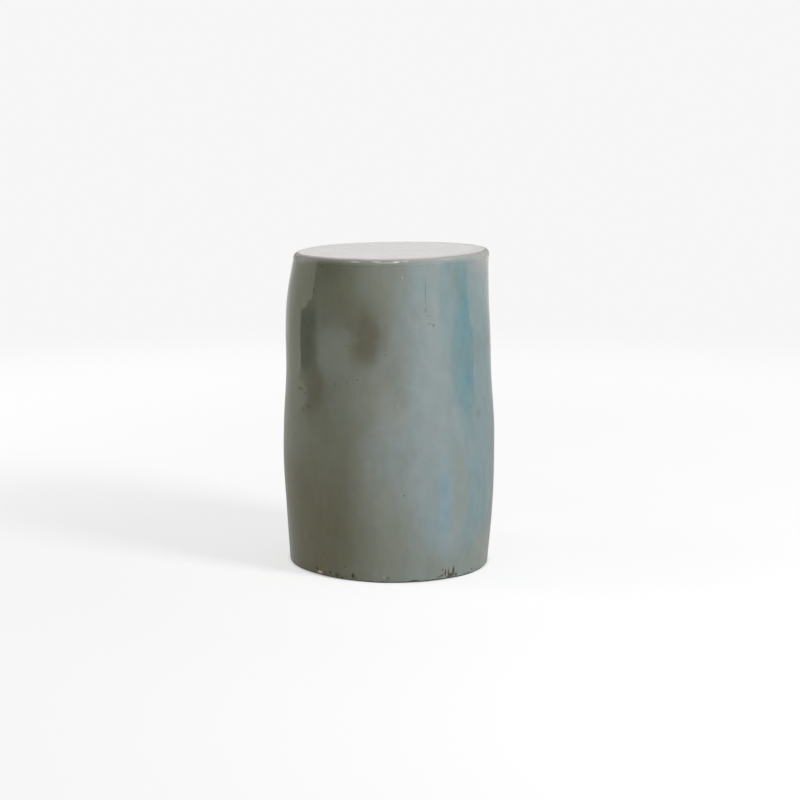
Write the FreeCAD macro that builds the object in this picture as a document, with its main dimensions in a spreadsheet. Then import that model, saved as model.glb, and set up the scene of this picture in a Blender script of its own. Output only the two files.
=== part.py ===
"""Ceramic garden stool: a hand-built, glazed stoneware drum with a luted seat slab.

The origin is on the floor under the middle of the belly, +Z is up, and the side seen
in the photograph faces -Y, with its left at -X. All sizes are millimetres or degrees.
"""

import FreeCAD
import Part
import Sketcher

import os

# Driving dimensions. Those of the drum and the seat are of the glazed outside.
SIZES = {
    # felt pads that lift the foot off the floor
    "pad_thickness": 1.5,
    "pad_diameter": 24.0,
    # outside of the drum: its largest radius, at the belly, and for each outline from the foot up
    # the rise from the one below, how much less its radius is than the belly's, and its lean to +X
    "belly_radius": 154.3,
    "foot_tuck": 9.1,
    "foot_lean": -0.5,
    "skirt_rise": 70.0,
    "skirt_tuck": 3.8,
    "skirt_lean": 0.5,
    "belly_rise": 80.0,
    "belly_tuck": 0.0,
    "belly_lean": 0.0,
    "flank_rise": 74.0,
    "flank_tuck": 1.9,
    "flank_lean": 0.0,
    "waist_rise": 60.0,
    "waist_tuck": 5.4,
    "waist_lean": -0.5,
    "chest_rise": 54.0,
    "chest_tuck": 6.1,
    "chest_lean": -2.0,
    "shoulder_rise": 53.0,
    "shoulder_tuck": 9.3,
    "shoulder_lean": -1.9,
    "neck_rise": 48.5,
    "neck_tuck": 14.3,
    "neck_lean": 2.6,
    # the drum is a little oval: half its length less its width, and where its long axis points
    "oval": 4.0,
    "oval_turn": -44.0,
    # seat
    "seat_thickness": 16.0,
    "seat_tilt": 0.8,
    "seat_shift": 0.5,
    "rim_overhang": 1.5,
    "rim_top_round": 5.2,
    "rim_lower_round": 0.7,
    # clay and glaze
    "wall_thickness": 10.0,
    "glaze_thickness": 0.8,
    "bare_foot_band": 3.0,
    # clay pressed in along the joints inside
    "coil_edge": 4.0,
    "seat_coil_drop": 22.0,
    "seat_coil_reach": 20.0,
    "joint_coil_height": 30.0,
    "joint_coil_depth": 9.0,
    "foot_ring_height": 18.0,
    "foot_ring_reach": 24.0,
    "foot_ring_bevel": 8.0,
}

# Outlines of the drum from the floor up. The two courses of the wall meet at the belly.
STATIONS = ("foot", "skirt", "belly", "flank", "waist", "chest", "shoulder", "neck")
JOINT = "belly"

PAD_COUNT = 4
FIRST_PAD_ANGLE = 45.0

# How far a glaze or clay surface lies inside the glazed outside.
OUTSIDE = "0"
CLAY = "sizes.glaze_thickness"
INSIDE = "(sizes.glaze_thickness + sizes.wall_thickness)"

doc = FreeCAD.newDocument("garden_stool")
sheet = doc.addObject("Spreadsheet::Sheet", "sizes")
for row, (alias, value) in enumerate(SIZES.items(), start=1):
    sheet.set(f"A{row}", alias)
    sheet.set(f"B{row}", str(value))
    sheet.setAlias(f"B{row}", alias)
doc.recompute()


def height(station):
    """Height of an outline above the floor, as an expression."""
    rises = STATIONS[1 : STATIONS.index(station) + 1]
    return " + ".join(["sizes.pad_thickness"] + [f"sizes.{name}_rise" for name in rises])


def radius(station):
    """Mean radius of an outline, as an expression."""
    return f"(sizes.belly_radius - sizes.{station}_tuck)"


def level_place(lean, up):
    """Level place at a height above the floor, turned to the drum's long axis."""
    return f"placement(vector({lean}; 0; {up}); rotation(vector(0; 0; 1); sizes.oval_turn))"


# The neck's plane: the seat sits on it and leans with it.
SEAT_PLANE = (
    f"placement(vector(sizes.neck_lean; 0; {height('neck')});"
    " rotation(vector(0; 1; 0); -sizes.seat_tilt))"
)


def seat_place(up, shift="0"):
    """Place above the neck's plane, turned to the drum's long axis."""
    local = f"placement(vector({shift}; 0; {up}); rotation(vector(0; 0; 1); sizes.oval_turn))"
    return f"{SEAT_PLANE} * {local}"


def outline(name, mean_radius, place):
    """Slightly oval outline of the drum."""
    ellipse = doc.addObject("Part::Ellipse", name)
    ellipse.setExpression("MajorRadius", f"{mean_radius} + sizes.oval")
    ellipse.setExpression("MinorRadius", f"{mean_radius} - sizes.oval")
    ellipse.setExpression("Placement", place)
    return ellipse


def loft(name, outlines):
    """Solid through outlines that lie above each other."""
    solid = doc.addObject("Part::Loft", name)
    solid.Sections = outlines
    solid.Solid = True
    solid.Ruled = False
    return solid


def drum_form(name, inset, top):
    """Solid drum that lies inset within the glazed outside and ends at top above the neck."""
    outlines = []
    for station in STATIONS:
        if station == "neck":
            place = seat_place(top)
        else:
            place = level_place(f"sizes.{station}_lean", height(station))
        outlines.append(outline(f"{name}_{station}", f"{radius(station)} - {inset}", place))
    return loft(name, outlines)


def slice_of_drum(name, place, thickness):
    """Round slice, wider than the drum, that a band of the drum is cut out with."""
    cylinder = doc.addObject("Part::Cylinder", name)
    cylinder.setExpression("Radius", "2 * sizes.belly_radius")
    cylinder.setExpression("Height", thickness)
    cylinder.setExpression("Placement", place)
    return cylinder


def cut(name, base, tool):
    """What is left of base without tool."""
    result = doc.addObject("Part::Cut", name)
    result.Base = base
    result.Tool = tool
    return result


def common(name, base, tool):
    """What base and tool share."""
    result = doc.addObject("Part::Common", name)
    result.Base = base
    result.Tool = tool
    return result


def origin_plane(body, role):
    """One of a body's own origin planes."""
    return next(f for f in body.Origin.OriginFeatures if f.Role == role)


def end_edge(feature, pick):
    """Name of the edge round a disc's upper or lower end, with max or min for pick."""
    middles = [(edge.CenterOfMass.z, number) for number, edge in enumerate(feature.Shape.Edges, 1)]
    return f"Edge{pick(middles)[1]}"


def seat_disc(name, inset):
    """Round-edged disc that lies inset within the glazed seat."""
    body = doc.addObject("PartDesign::Body", name)

    sketch = body.newObject("Sketcher::SketchObject", f"{name}_outline")
    sketch.AttachmentSupport = [(origin_plane(body, "XY_Plane"), "")]
    sketch.MapMode = "FlatFace"
    sketch.setExpression(".AttachmentOffset.Base.z", inset)

    reach = SIZES["belly_radius"] - SIZES["neck_tuck"] + SIZES["rim_overhang"]
    long_end = FreeCAD.Vector(reach + SIZES["oval"], 0, 0)
    short_end = FreeCAD.Vector(0, reach - SIZES["oval"], 0)
    sketch.addGeometry(Part.Ellipse(long_end, short_end, FreeCAD.Vector(0, 0, 0)), False)
    sketch.exposeInternalGeometry(0)
    sketch.addConstraint(Sketcher.Constraint("Coincident", 0, 3, -1, 1))
    sketch.addConstraint(Sketcher.Constraint("Horizontal", 1))
    for axis, name_of_axis, sign in ((1, "long_axis", "+"), (2, "short_axis", "-")):
        length = 2 * (reach + SIZES["oval"] if sign == "+" else reach - SIZES["oval"])
        index = sketch.addConstraint(Sketcher.Constraint("Distance", axis, length))
        sketch.renameConstraint(index, name_of_axis)
        sketch.setExpression(
            f"Constraints.{name_of_axis}",
            f"2 * ({radius('neck')} + sizes.rim_overhang {sign} sizes.oval - {inset})",
        )

    pad = body.newObject("PartDesign::Pad", f"{name}_disc")
    pad.Profile = sketch
    pad.setExpression("Length", f"sizes.seat_thickness - 2 * {inset}")
    rounded = pad
    for pick, rounding in ((max, "rim_top_round"), (min, "rim_lower_round")):
        doc.recompute()
        edge = end_edge(rounded, pick)
        fillet = body.newObject("PartDesign::Fillet", f"{name}_{rounding}")
        fillet.Base = (rounded, [edge])
        fillet.setExpression("Radius", f"sizes.{rounding} + sizes.glaze_thickness - {inset}")
        rounded = fillet
    body.Tip = rounded
    body.setExpression("Placement", seat_place("0", "sizes.seat_shift"))
    return body


def floor_pad(number):
    """One felt disc under the foot's bare land."""
    body = doc.addObject("PartDesign::Body", f"floor_pad_{number}")

    sketch = body.newObject("Sketcher::SketchObject", f"pad_outline_{number}")
    sketch.AttachmentSupport = [(origin_plane(body, "XY_Plane"), "")]
    sketch.MapMode = "FlatFace"
    circle = Part.Circle(
        FreeCAD.Vector(0, 0, 0), FreeCAD.Vector(0, 0, 1), SIZES["pad_diameter"] / 2
    )
    sketch.addGeometry(circle, False)
    sketch.addConstraint(Sketcher.Constraint("Coincident", 0, 3, -1, 1))
    index = sketch.addConstraint(Sketcher.Constraint("Diameter", 0, SIZES["pad_diameter"]))
    sketch.renameConstraint(index, "diameter")
    sketch.setExpression("Constraints.diameter", "sizes.pad_diameter")

    pad = body.newObject("PartDesign::Pad", f"pad_disc_{number}")
    pad.Profile = sketch
    pad.setExpression("Length", "sizes.pad_thickness")

    # The land runs from the clay's outside to the foot ring's bore, and the pad is in its middle.
    land = "(sizes.wall_thickness + sizes.foot_ring_reach)"
    ring = f"({radius('foot')} - sizes.glaze_thickness - {land} / 2)"
    angle = FIRST_PAD_ANGLE + 360.0 / PAD_COUNT * (number - 1)
    along = f"({ring} + sizes.oval) * cos({angle} deg)"
    across = f"({ring} - sizes.oval) * sin({angle} deg)"
    on_land = f"placement(vector({along}; {across}; 0); rotation(vector(0; 0; 1); 0))"
    body.setExpression("Placement", f"{level_place('sizes.foot_lean', '0')} * {on_land}")
    return body


def wall_courses():
    """Lower and upper course of the clay wall, butted at the belly."""
    below_joint = slice_of_drum("below_joint", level_place("0", "0"), height(JOINT))
    tube = cut("clay_tube", clay_form, inside_form)
    return common("lower_wall", tube, below_joint), cut("upper_wall", tube, below_joint)


def inner_band(name, band, bore):
    """Ring of clay on the inside of the wall: what a band of the hollow has outside a bore."""
    return common(name, inside_form, cut(f"{name}_band", band, bore))


def joint_coil():
    """Bead of clay inside, smoothed over the joint of the two courses."""
    half = "sizes.joint_coil_height / 2"
    start = level_place("0", f"{height(JOINT)} - {half}")
    band = slice_of_drum("joint_slice", start, "sizes.joint_coil_height")
    bore_outlines = []
    for level, side, depth in (
        ("low", "-1", "coil_edge"),
        ("middle", "0", "joint_coil_depth"),
        ("high", "1", "coil_edge"),
    ):
        bore_radius = f"{radius(JOINT)} - {INSIDE} - sizes.{depth}"
        place = level_place(f"sizes.{JOINT}_lean", f"{height(JOINT)} + {side} * {half}")
        bore_outlines.append(outline(f"joint_bore_{level}", bore_radius, place))
    return inner_band("joint_coil", band, loft("joint_bore", bore_outlines))


def seat_coil():
    """Bevelled clay coil in the corner between the wall and the seat slab."""
    levels = (
        ("low", "sizes.glaze_thickness - sizes.seat_coil_drop", "coil_edge"),
        ("high", "sizes.glaze_thickness", "seat_coil_reach"),
    )
    bore_outlines = []
    for level, up, depth in levels:
        bore_radius = f"{radius('neck')} - {INSIDE} - sizes.{depth}"
        bore_outlines.append(outline(f"seat_bore_{level}", bore_radius, seat_place(up)))
    band = slice_of_drum("seat_slice", seat_place(levels[0][1]), "sizes.seat_coil_drop")
    return inner_band("seat_coil", band, loft("seat_bore", bore_outlines))


def foot_ring():
    """Inward flange that stiffens the open foot and gives it a broad land."""
    levels = (
        ("low", height("foot"), "0"),
        ("high", f"{height('foot')} + sizes.foot_ring_height", "sizes.foot_ring_bevel"),
    )
    bore_outlines = []
    for level, up, bevel in levels:
        bore_radius = f"{radius('foot')} - {INSIDE} - sizes.foot_ring_reach + {bevel}"
        place = level_place("sizes.foot_lean", up)
        bore_outlines.append(outline(f"foot_bore_{level}", bore_radius, place))
    band = slice_of_drum("foot_slice", level_place("0", levels[0][1]), "sizes.foot_ring_height")
    return inner_band("foot_ring", band, loft("foot_bore", bore_outlines))


def wall_glaze():
    """Glaze coat on the wall, wiped off just above the foot."""
    up = f"{height('foot')} + sizes.bare_foot_band"
    bare = slice_of_drum("bare_foot", level_place("0", "0"), up)
    return cut("wall_glaze", cut("wall_coat", outside_form, clay_form), bare)


def seat_glaze(slab):
    """Glaze coat over the seat slab, its rim and the underside of the overhang."""
    rim_form = seat_disc("rim_form", OUTSIDE)
    return cut("seat_glaze", cut("seat_coat", rim_form, slab), clay_form)


outside_form = drum_form("outside_form", OUTSIDE, "0")
clay_form = drum_form("clay_form", CLAY, "sizes.glaze_thickness")
inside_form = drum_form("inside_form", INSIDE, "sizes.glaze_thickness")

lower_wall, upper_wall = wall_courses()
seat_slab = seat_disc("seat_slab", CLAY)
sub_parts = [
    seat_slab,
    upper_wall,
    lower_wall,
    seat_coil(),
    joint_coil(),
    foot_ring(),
    seat_glaze(seat_slab),
    wall_glaze(),
]
sub_parts += [floor_pad(number) for number in range(1, PAD_COUNT + 1)]
doc.recompute()

for item in doc.Objects:
    if "Invalid" in item.State or "Error" in item.State:
        raise RuntimeError(f"{item.Label} did not build: {item.State}")
for part in sub_parts:
    if part.Shape.isNull() or not part.Shape.isValid() or not part.Shape.Solids:
        raise RuntimeError(f"{part.Label} has no valid solid")

os.makedirs("parts", exist_ok=True)
for part in sub_parts:
    part.Shape.exportStep(f"parts/{part.Label}.step")
    print(f"{part.Label}: {len(part.Shape.Solids)} solid, {part.Shape.Volume / 1000:.1f} cm3")
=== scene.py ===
"""Looks of the ceramic garden stool: a hand-built stoneware drum under a running glaze.

Every piece is built anew round the solids, so that the wall has its wobble, the glaze its
runs, the clay inside its finger marks and the felt its fibres. Lengths in the tables are
millimetres, and angles are degrees, counted from the front towards the right.
"""

import math

import bpy
import numpy as np
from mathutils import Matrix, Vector

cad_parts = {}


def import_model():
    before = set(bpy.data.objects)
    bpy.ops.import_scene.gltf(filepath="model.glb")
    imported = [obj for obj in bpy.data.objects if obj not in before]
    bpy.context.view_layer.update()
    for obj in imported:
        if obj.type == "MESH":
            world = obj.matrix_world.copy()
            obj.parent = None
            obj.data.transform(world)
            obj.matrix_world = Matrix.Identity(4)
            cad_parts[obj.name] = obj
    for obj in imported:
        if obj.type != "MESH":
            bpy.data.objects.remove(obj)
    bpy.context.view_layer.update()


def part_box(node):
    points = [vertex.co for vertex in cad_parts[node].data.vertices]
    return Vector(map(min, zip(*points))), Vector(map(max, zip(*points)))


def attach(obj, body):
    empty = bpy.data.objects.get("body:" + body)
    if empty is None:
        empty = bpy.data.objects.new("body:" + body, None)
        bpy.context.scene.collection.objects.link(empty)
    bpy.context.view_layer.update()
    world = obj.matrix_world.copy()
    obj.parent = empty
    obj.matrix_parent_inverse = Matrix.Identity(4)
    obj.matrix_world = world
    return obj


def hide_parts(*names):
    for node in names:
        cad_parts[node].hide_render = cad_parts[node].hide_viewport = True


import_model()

MM = 0.001

# The drum's form, after the solids

# Outlines of the glazed outside from the foot up: height, mean radius, lean to the right. The
# glaze fills the neck, so it is a little wider there than in the solids.
OUTLINES = (
    (1.5, 145.5, -0.8),
    (71.5, 150.8, 0.2),
    (151.5, 154.5, -0.2),
    (225.5, 152.7, -0.3),
    (285.5, 148.9, -0.6),
    (339.5, 148.5, -1.4),
    (392.5, 145.7, -1.2),
    (441.0, 141.2, 2.4),
)
OVAL = 4.0
OVAL_TURN = math.radians(-44.0)
FOOT_HEIGHT, BELLY_HEIGHT = OUTLINES[0][0], OUTLINES[2][0]
SHOULDER_HEIGHT = OUTLINES[-2][0]
NECK_HEIGHT, NECK_RADIUS, NECK_LEAN = OUTLINES[-1]
SEAT_TILT = math.radians(0.8)
SEAT_SHIFT = 0.5
SEAT_THICKNESS = 16.0
GLAZE = 0.8
WALL = 10.0
GLAZE_LINE = 2.7

# Where the wall starts to lean with the seat, and how far up the swing of the foot is felt.
LEAN_START = SHOULDER_HEIGHT - 20.0
FOOT_SWING_TOP = 22.0
# The pressed rim spreads and rises at its right, and draws in and sinks at its left.
RIGHT_SPREAD, LEFT_DRAW = 1.9, 0.9
RIM_SWING = 1.3

# How far the cut edge of the foot swings up, and below zero down, by angle.
FOOT_CUT = (
    (-180, -1.0),
    (-120, -0.5),
    (-82, -1.15),
    (-70, -0.7),
    (-60, 0.0),
    (-42, 0.15),
    (-30, -0.3),
    (-20, -0.6),
    (-5, -1.15),
    (6, -1.0),
    (16, -0.6),
    (32, -0.5),
    (42, -1.1),
    (52, -1.4),
    (75, -1.2),
    (120, -0.4),
    (180, -1.0),
)

# Section of the glazed rim, from the neck to the flat of the seat: outwards from the neck, up.
RIM_SECTION = (
    (-0.05, 1.0),
    (-0.2, 3.0),
    (-0.35, 5.0),
    (-0.5, 7.0),
    (-0.75, 9.0),
    (-1.15, 10.8),
    (-1.9, 12.5),
    (-3.0, 14.0),
    (-4.6, 15.1),
    (-6.4, 15.8),
    (-9.0, 16.0),
)


def natural_spline(xs, ys):
    """Smooth curve through points, as a function."""
    xs, ys = np.array(xs, float), np.array(ys, float)
    gaps, count = np.diff(xs), len(xs)
    matrix, right = np.eye(count), np.zeros(count)
    for i in range(1, count - 1):
        matrix[i, i - 1 : i + 2] = gaps[i - 1], 2 * (gaps[i - 1] + gaps[i]), gaps[i]
        slopes = (ys[i + 1] - ys[i]) / gaps[i] - (ys[i] - ys[i - 1]) / gaps[i - 1]
        right[i] = 6 * slopes
    bends = np.linalg.solve(matrix, right)

    def value(x):
        i = np.clip(np.searchsorted(xs, x) - 1, 0, count - 2)
        gap, after, before = gaps[i], x - xs[i], xs[i + 1] - x
        curved = bends[i] * before**3 + bends[i + 1] * after**3
        start = (ys[i] / gap - bends[i] * gap / 6) * before
        end = (ys[i + 1] / gap - bends[i + 1] * gap / 6) * after
        return curved / (6 * gap) + start + end

    return value


radius_at = natural_spline([o[0] for o in OUTLINES], [o[1] for o in OUTLINES])
lean_at = natural_spline([o[0] for o in OUTLINES], [o[2] for o in OUTLINES])


def smooth_step(low, high, x):
    """0 below low, 1 above high, and smooth between."""
    share = np.clip((x - low) / (high - low), 0.0, 1.0)
    return share * share * (3 - 2 * share)


def oval(mean_radius, columns):
    """Points round the drum's oval, in its plane."""
    around = np.arange(columns) * (2 * math.pi / columns)
    along = (mean_radius + OVAL) * np.cos(around)
    across = (mean_radius - OVAL) * np.sin(around)
    c, s = math.cos(OVAL_TURN), math.sin(OVAL_TURN)
    return along * c - across * s, along * s + across * c


def bump_at(angle, middle, width):
    """Smooth hill round an angle, 1 at its top."""
    return np.exp(-(((angle - middle) / width) ** 2))


def foot_swing(x, y):
    """How far the cut edge of the foot swings up round the drum, with the knife's small waves."""
    angle = np.degrees(np.arctan2(x, -y))
    swing = np.interp(angle, [cut[0] for cut in FOOT_CUT], [cut[1] for cut in FOOT_CUT])
    swing = swing + 0.12 * np.sin(np.radians(13 * angle))
    return swing + 0.06 * np.sin(np.radians(31 * angle + 50))


def drum_ring(height, inset, columns):
    """Ring round the drum at a height, which leans with the seat above the shoulder."""
    x, y = oval(radius_at(height) - inset, columns)
    lift = smooth_step(LEAN_START, NECK_HEIGHT, height) * math.tan(SEAT_TILT) * x
    outer = 1 - smooth_step(GLAZE, GLAZE + WALL - 1.0, inset)
    near_foot = 1 - smooth_step(FOOT_HEIGHT, FOOT_SWING_TOP, height)
    lift = lift + foot_swing(x, y) * outer * near_foot
    return np.stack([x + lean_at(height), y, height + lift], axis=1)


def seat_ring(outward, up, columns, shift=SEAT_SHIFT):
    """Ring in the leaning plane of the seat, outward from the neck and up from it."""
    x, y = oval(NECK_RADIUS + outward, columns)
    angle = np.degrees(np.arctan2(x, -y))
    left, right = bump_at(angle, -100, 36), bump_at(angle, 105, 50)
    spread = RIGHT_SPREAD * right * smooth_step(4.0, 12.0, up)
    spread = (spread - LEFT_DRAW * left * smooth_step(6.0, 15.0, up)) / NECK_RADIUS
    lift = (RIM_SWING * right - RIM_SWING * left) * smooth_step(2.0, 15.0, up)
    x, y = x * (1 + spread) + shift, y * (1 + spread)
    c, s = math.cos(SEAT_TILT), math.sin(SEAT_TILT)
    return np.stack([x * c - up * s + NECK_LEAN, y, x * s + up * c + NECK_HEIGHT + lift], axis=1)


def seat_point(up):
    """Point in the middle of the seat."""
    c, s = math.cos(SEAT_TILT), math.sin(SEAT_TILT)
    return np.array([[NECK_LEAN + SEAT_SHIFT * c - up * s, 0.0, NECK_HEIGHT + up * c]])


def shrunk_seat_ring(outward, up, share, columns):
    """Ring on the seat that is a share of a rim ring's size, round the seat's middle."""
    middle = seat_point(up)
    return middle + (seat_ring(outward, up, columns) - middle) * share


# Building meshes


def turned_mesh(name, rings, closed, marks):
    """Object over a run of rings, each an array of points or one point at a pole.

    Closed joins the last ring to the first. Marks has a value for each ring by attribute name.
    """
    points = np.concatenate(rings) * MM
    starts = np.cumsum([0] + [len(ring) for ring in rings])
    faces = []
    pairs = list(zip(range(len(rings) - 1), range(1, len(rings))))
    if closed:
        pairs.append((len(rings) - 1, 0))
    for low, high in pairs:
        a, b = starts[low], starts[high]
        count_a, count_b = len(rings[low]), len(rings[high])
        for i in range(max(count_a, count_b)):
            j = (i + 1) % max(count_a, count_b)
            if count_a == 1:
                faces.append((a, b + j, b + i))
            elif count_b == 1:
                faces.append((a + i, a + j, b))
            else:
                faces.append((a + i, a + j, b + j, b + i))
    mesh = bpy.data.meshes.new(name)
    mesh.from_pydata(points.tolist(), [], [tuple(map(int, face)) for face in faces])
    if signed_volume(mesh) < 0:
        mesh.flip_normals()
    mesh.shade_smooth()
    for mark, values in marks.items():
        spread = np.concatenate([np.full(len(r), v) for r, v in zip(rings, values)])
        layer = mesh.attributes.new(mark, "FLOAT", "POINT")
        layer.data.foreach_set("value", spread.astype(np.float32))
    return new_object(name, mesh)


def signed_volume(mesh):
    """Volume inside a closed mesh, negative where its faces point inwards."""
    mesh.calc_loop_triangles()
    corners = np.zeros(len(mesh.loop_triangles) * 3, np.int32)
    mesh.loop_triangles.foreach_get("vertices", corners)
    points = np.zeros(len(mesh.vertices) * 3)
    mesh.vertices.foreach_get("co", points)
    a, b, c = points.reshape(-1, 3)[corners.reshape(-1, 3)].transpose(1, 0, 2)
    return float(np.einsum("ij,ij->i", a, np.cross(b, c)).sum() / 6)


def new_object(name, mesh):
    """Object for a mesh, linked into the scene."""
    made = bpy.data.objects.new(name, mesh)
    bpy.context.scene.collection.objects.link(made)
    return made


# Node trees


class Nodes:
    """Short way to add nodes to a tree."""

    def __init__(self, tree):
        self.tree = tree

    def add(self, kind, inputs=None, **settings):
        """A node with its settings, and its inputs by name or number."""
        node = self.tree.nodes.new(kind)
        for key, value in settings.items():
            setattr(node, key, value)
        for key, value in (inputs or {}).items():
            self.put(node.inputs[key], value)
        return node

    def put(self, socket, value):
        """Links another socket to this one, or sets its plain value."""
        if isinstance(value, bpy.types.NodeSocket):
            self.tree.links.new(value, socket)
        else:
            socket.default_value = value

    def math(self, operation, *values):
        """A sum on numbers."""
        node = self.add("ShaderNodeMath", operation=operation)
        for socket, value in zip(node.inputs, values):
            self.put(socket, value)
        return node.outputs[0]

    def vector(self, operation, *values, scale=None):
        """A sum on places and directions."""
        node = self.add("ShaderNodeVectorMath", operation=operation)
        for socket, value in zip(node.inputs, values):
            self.put(socket, value)
        if scale is not None:
            self.put(node.inputs["Scale"], scale)
        return node.outputs["Value" if operation == "LENGTH" else "Vector"]

    def ramp(self, value, low, high, to_low=0.0, to_high=1.0, smooth=True):
        """Value taken from between low and high to between two others, and held outside."""
        kind = "SMOOTHSTEP" if smooth else "LINEAR"
        node = self.add("ShaderNodeMapRange", interpolation_type=kind)
        for socket, given in zip(node.inputs, (value, low, high, to_low, to_high)):
            self.put(socket, given)
        return node.outputs["Result"]

    def noise(self, vector, scale, detail=2.0, roughness=0.5, distortion=0.0):
        """Cloudy chance between 0 and 1."""
        settings = {
            "Vector": vector,
            "Scale": scale,
            "Detail": detail,
            "Roughness": roughness,
            "Distortion": distortion,
        }
        return self.add("ShaderNodeTexNoise", settings).outputs["Fac"]

    def mix(self, share, first, second):
        """Mix of two colours, by the numbers of the node's colour sockets."""
        node = self.add("ShaderNodeMix", data_type="RGBA")
        self.put(node.inputs[0], share)
        self.put(node.inputs[6], first)
        self.put(node.inputs[7], second)
        return node.outputs[2]


def colour(red, green, blue):
    """Linear colour, with alpha, of a screen colour from 0 to 255."""
    linear = []
    for part in (red, green, blue):
        v = part / 255
        linear.append(v / 12.92 if v <= 0.04045 else ((v + 0.055) / 1.055) ** 2.4)
    return (*linear, 1.0)


# Relief: Geometry Nodes that give the plain turned forms a maker's hand


def stretched(nodes, position, across, upright):
    """Position with its own scale across and upright."""
    return nodes.vector("MULTIPLY", position, (across, across, upright))


def hand_relief_tree():
    """Slow wobble of the whole wall, and finer ripples where the attribute skin is."""
    tree = bpy.data.node_groups.new("hand_relief", "GeometryNodeTree")
    tree.interface.new_socket("Geometry", in_out="INPUT", socket_type="NodeSocketGeometry")
    for label in ("Wobble", "Wobble scale", "Ripple", "Ripple scale", "Seed"):
        tree.interface.new_socket(label, in_out="INPUT", socket_type="NodeSocketFloat")
    tree.interface.new_socket("Material", in_out="INPUT", socket_type="NodeSocketMaterial")
    tree.interface.new_socket("Geometry", in_out="OUTPUT", socket_type="NodeSocketGeometry")
    nodes = Nodes(tree)
    given = nodes.add("NodeGroupInput").outputs
    position = nodes.add("GeometryNodeInputPosition").outputs[0]
    normal = nodes.add("GeometryNodeInputNormal").outputs[0]
    attribute = nodes.add("GeometryNodeInputNamedAttribute", {"Name": "skin"}, data_type="FLOAT")
    skin = attribute.outputs[0]
    outward = nodes.vector("NORMALIZE", nodes.vector("MULTIPLY", position, (1.0, 1.0, 0.0)))
    seeded = nodes.vector("SCALE", (1.0, 0.37, 0.71), scale=given["Seed"])
    moved = nodes.vector("ADD", position, seeded)
    slow = nodes.noise(stretched(nodes, moved, 1.0, 0.8), given["Wobble scale"], detail=1.0)
    slow = nodes.math("MULTIPLY", nodes.math("SUBTRACT", slow, 0.5), given["Wobble"])
    fine = nodes.noise(stretched(nodes, moved, 1.0, 0.55), given["Ripple scale"], detail=2.0)
    fine = nodes.math("MULTIPLY", nodes.math("SUBTRACT", fine, 0.5), given["Ripple"])
    fine = nodes.math("MULTIPLY", fine, skin)
    offset = nodes.vector(
        "ADD",
        nodes.vector("SCALE", outward, scale=slow),
        nodes.vector("SCALE", normal, scale=fine),
    )
    moves = {"Geometry": given["Geometry"], "Offset": offset}
    shaped = nodes.add("GeometryNodeSetPosition", moves).outputs[0]
    real = nodes.add("GeometryNodeRealizeInstances", {"Geometry": shaped}).outputs[0]
    dress = {"Geometry": real, "Material": given["Material"]}
    dressed = nodes.add("GeometryNodeSetMaterial", dress).outputs[0]
    nodes.add("NodeGroupOutput", {"Geometry": dressed})
    return tree


def apply_tree(piece, tree, values):
    """Runs a tree on a piece and keeps the result as its plain mesh."""
    modifier = piece.modifiers.new(tree.name, "NODES")
    modifier.node_group = tree
    for item in tree.interface.items_tree:
        if item.in_out == "INPUT" and item.name in values:
            modifier[item.identifier] = values[item.name]
    graph = bpy.context.evaluated_depsgraph_get()
    mesh = bpy.data.meshes.new_from_object(piece.evaluated_get(graph))
    piece.modifiers.remove(modifier)
    piece.data = mesh
    mesh.shade_smooth()
    return piece


# Materials


def new_material(name):
    """Empty material and its node helper."""
    material = bpy.data.materials.new(name)
    material.use_nodes = True
    material.node_tree.nodes.clear()
    return material, Nodes(material.node_tree)


def finish_material(nodes, base, roughness, normal, **plain):
    """Principled shader at the end of a material: plain holds values set on its own sockets."""
    inputs = {"Base Color": base, "Roughness": roughness, "Normal": normal}
    shader = nodes.add("ShaderNodeBsdfPrincipled", inputs)
    for key, value in plain.items():
        shader.inputs[key.replace("_", " ")].default_value = value
    nodes.add("ShaderNodeOutputMaterial", {"Surface": shader.outputs[0]})


# How far a fray of 1 moves a poured edge, in degrees and millimetres for a swing of 1.
ANGLE_FRAY, HEIGHT_FRAY = 20.0, 60.0


def pour_group():
    """Node group: how much of one poured patch of glaze lies at a place on the drum."""
    tree = bpy.data.node_groups.new("glaze_pour", "ShaderNodeTree")
    wanted = ("Around", "Up", "Swing across", "Swing up", "Angle", "Height")
    for label in wanted + ("Half angle", "Half height", "Edge", "Fray", "Squareness"):
        tree.interface.new_socket(label, in_out="INPUT", socket_type="NodeSocketFloat")
    tree.interface.new_socket("Amount", in_out="OUTPUT", socket_type="NodeSocketFloat")
    nodes = Nodes(tree)
    given = nodes.add("NodeGroupInput").outputs
    angle = nodes.math("SUBTRACT", given["Around"], given["Angle"])
    angle = nodes.math("WRAP", angle, 180.0, -180.0)
    rise = nodes.math("SUBTRACT", given["Up"], given["Height"])

    def frayed(distance, half, swing, reach):
        fray = nodes.math("MULTIPLY", given["Fray"], reach)
        share = nodes.math("DIVIDE", nodes.math("MULTIPLY_ADD", swing, fray, distance), half)
        return nodes.math("POWER", nodes.math("ABSOLUTE", share), given["Squareness"])

    total = nodes.math(
        "ADD",
        frayed(angle, given["Half angle"], given["Swing across"], ANGLE_FRAY),
        frayed(rise, given["Half height"], given["Swing up"], HEIGHT_FRAY),
    )
    total = nodes.math("POWER", total, nodes.math("DIVIDE", 1.0, given["Squareness"]))
    inner = nodes.math("SUBTRACT", 1.0, given["Edge"])
    outer = nodes.math("ADD", 1.0, given["Edge"])
    amount = nodes.ramp(total, inner, outer, 1.0, 0.0)
    nodes.add("NodeGroupOutput", {"Amount": amount})
    return tree


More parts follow.
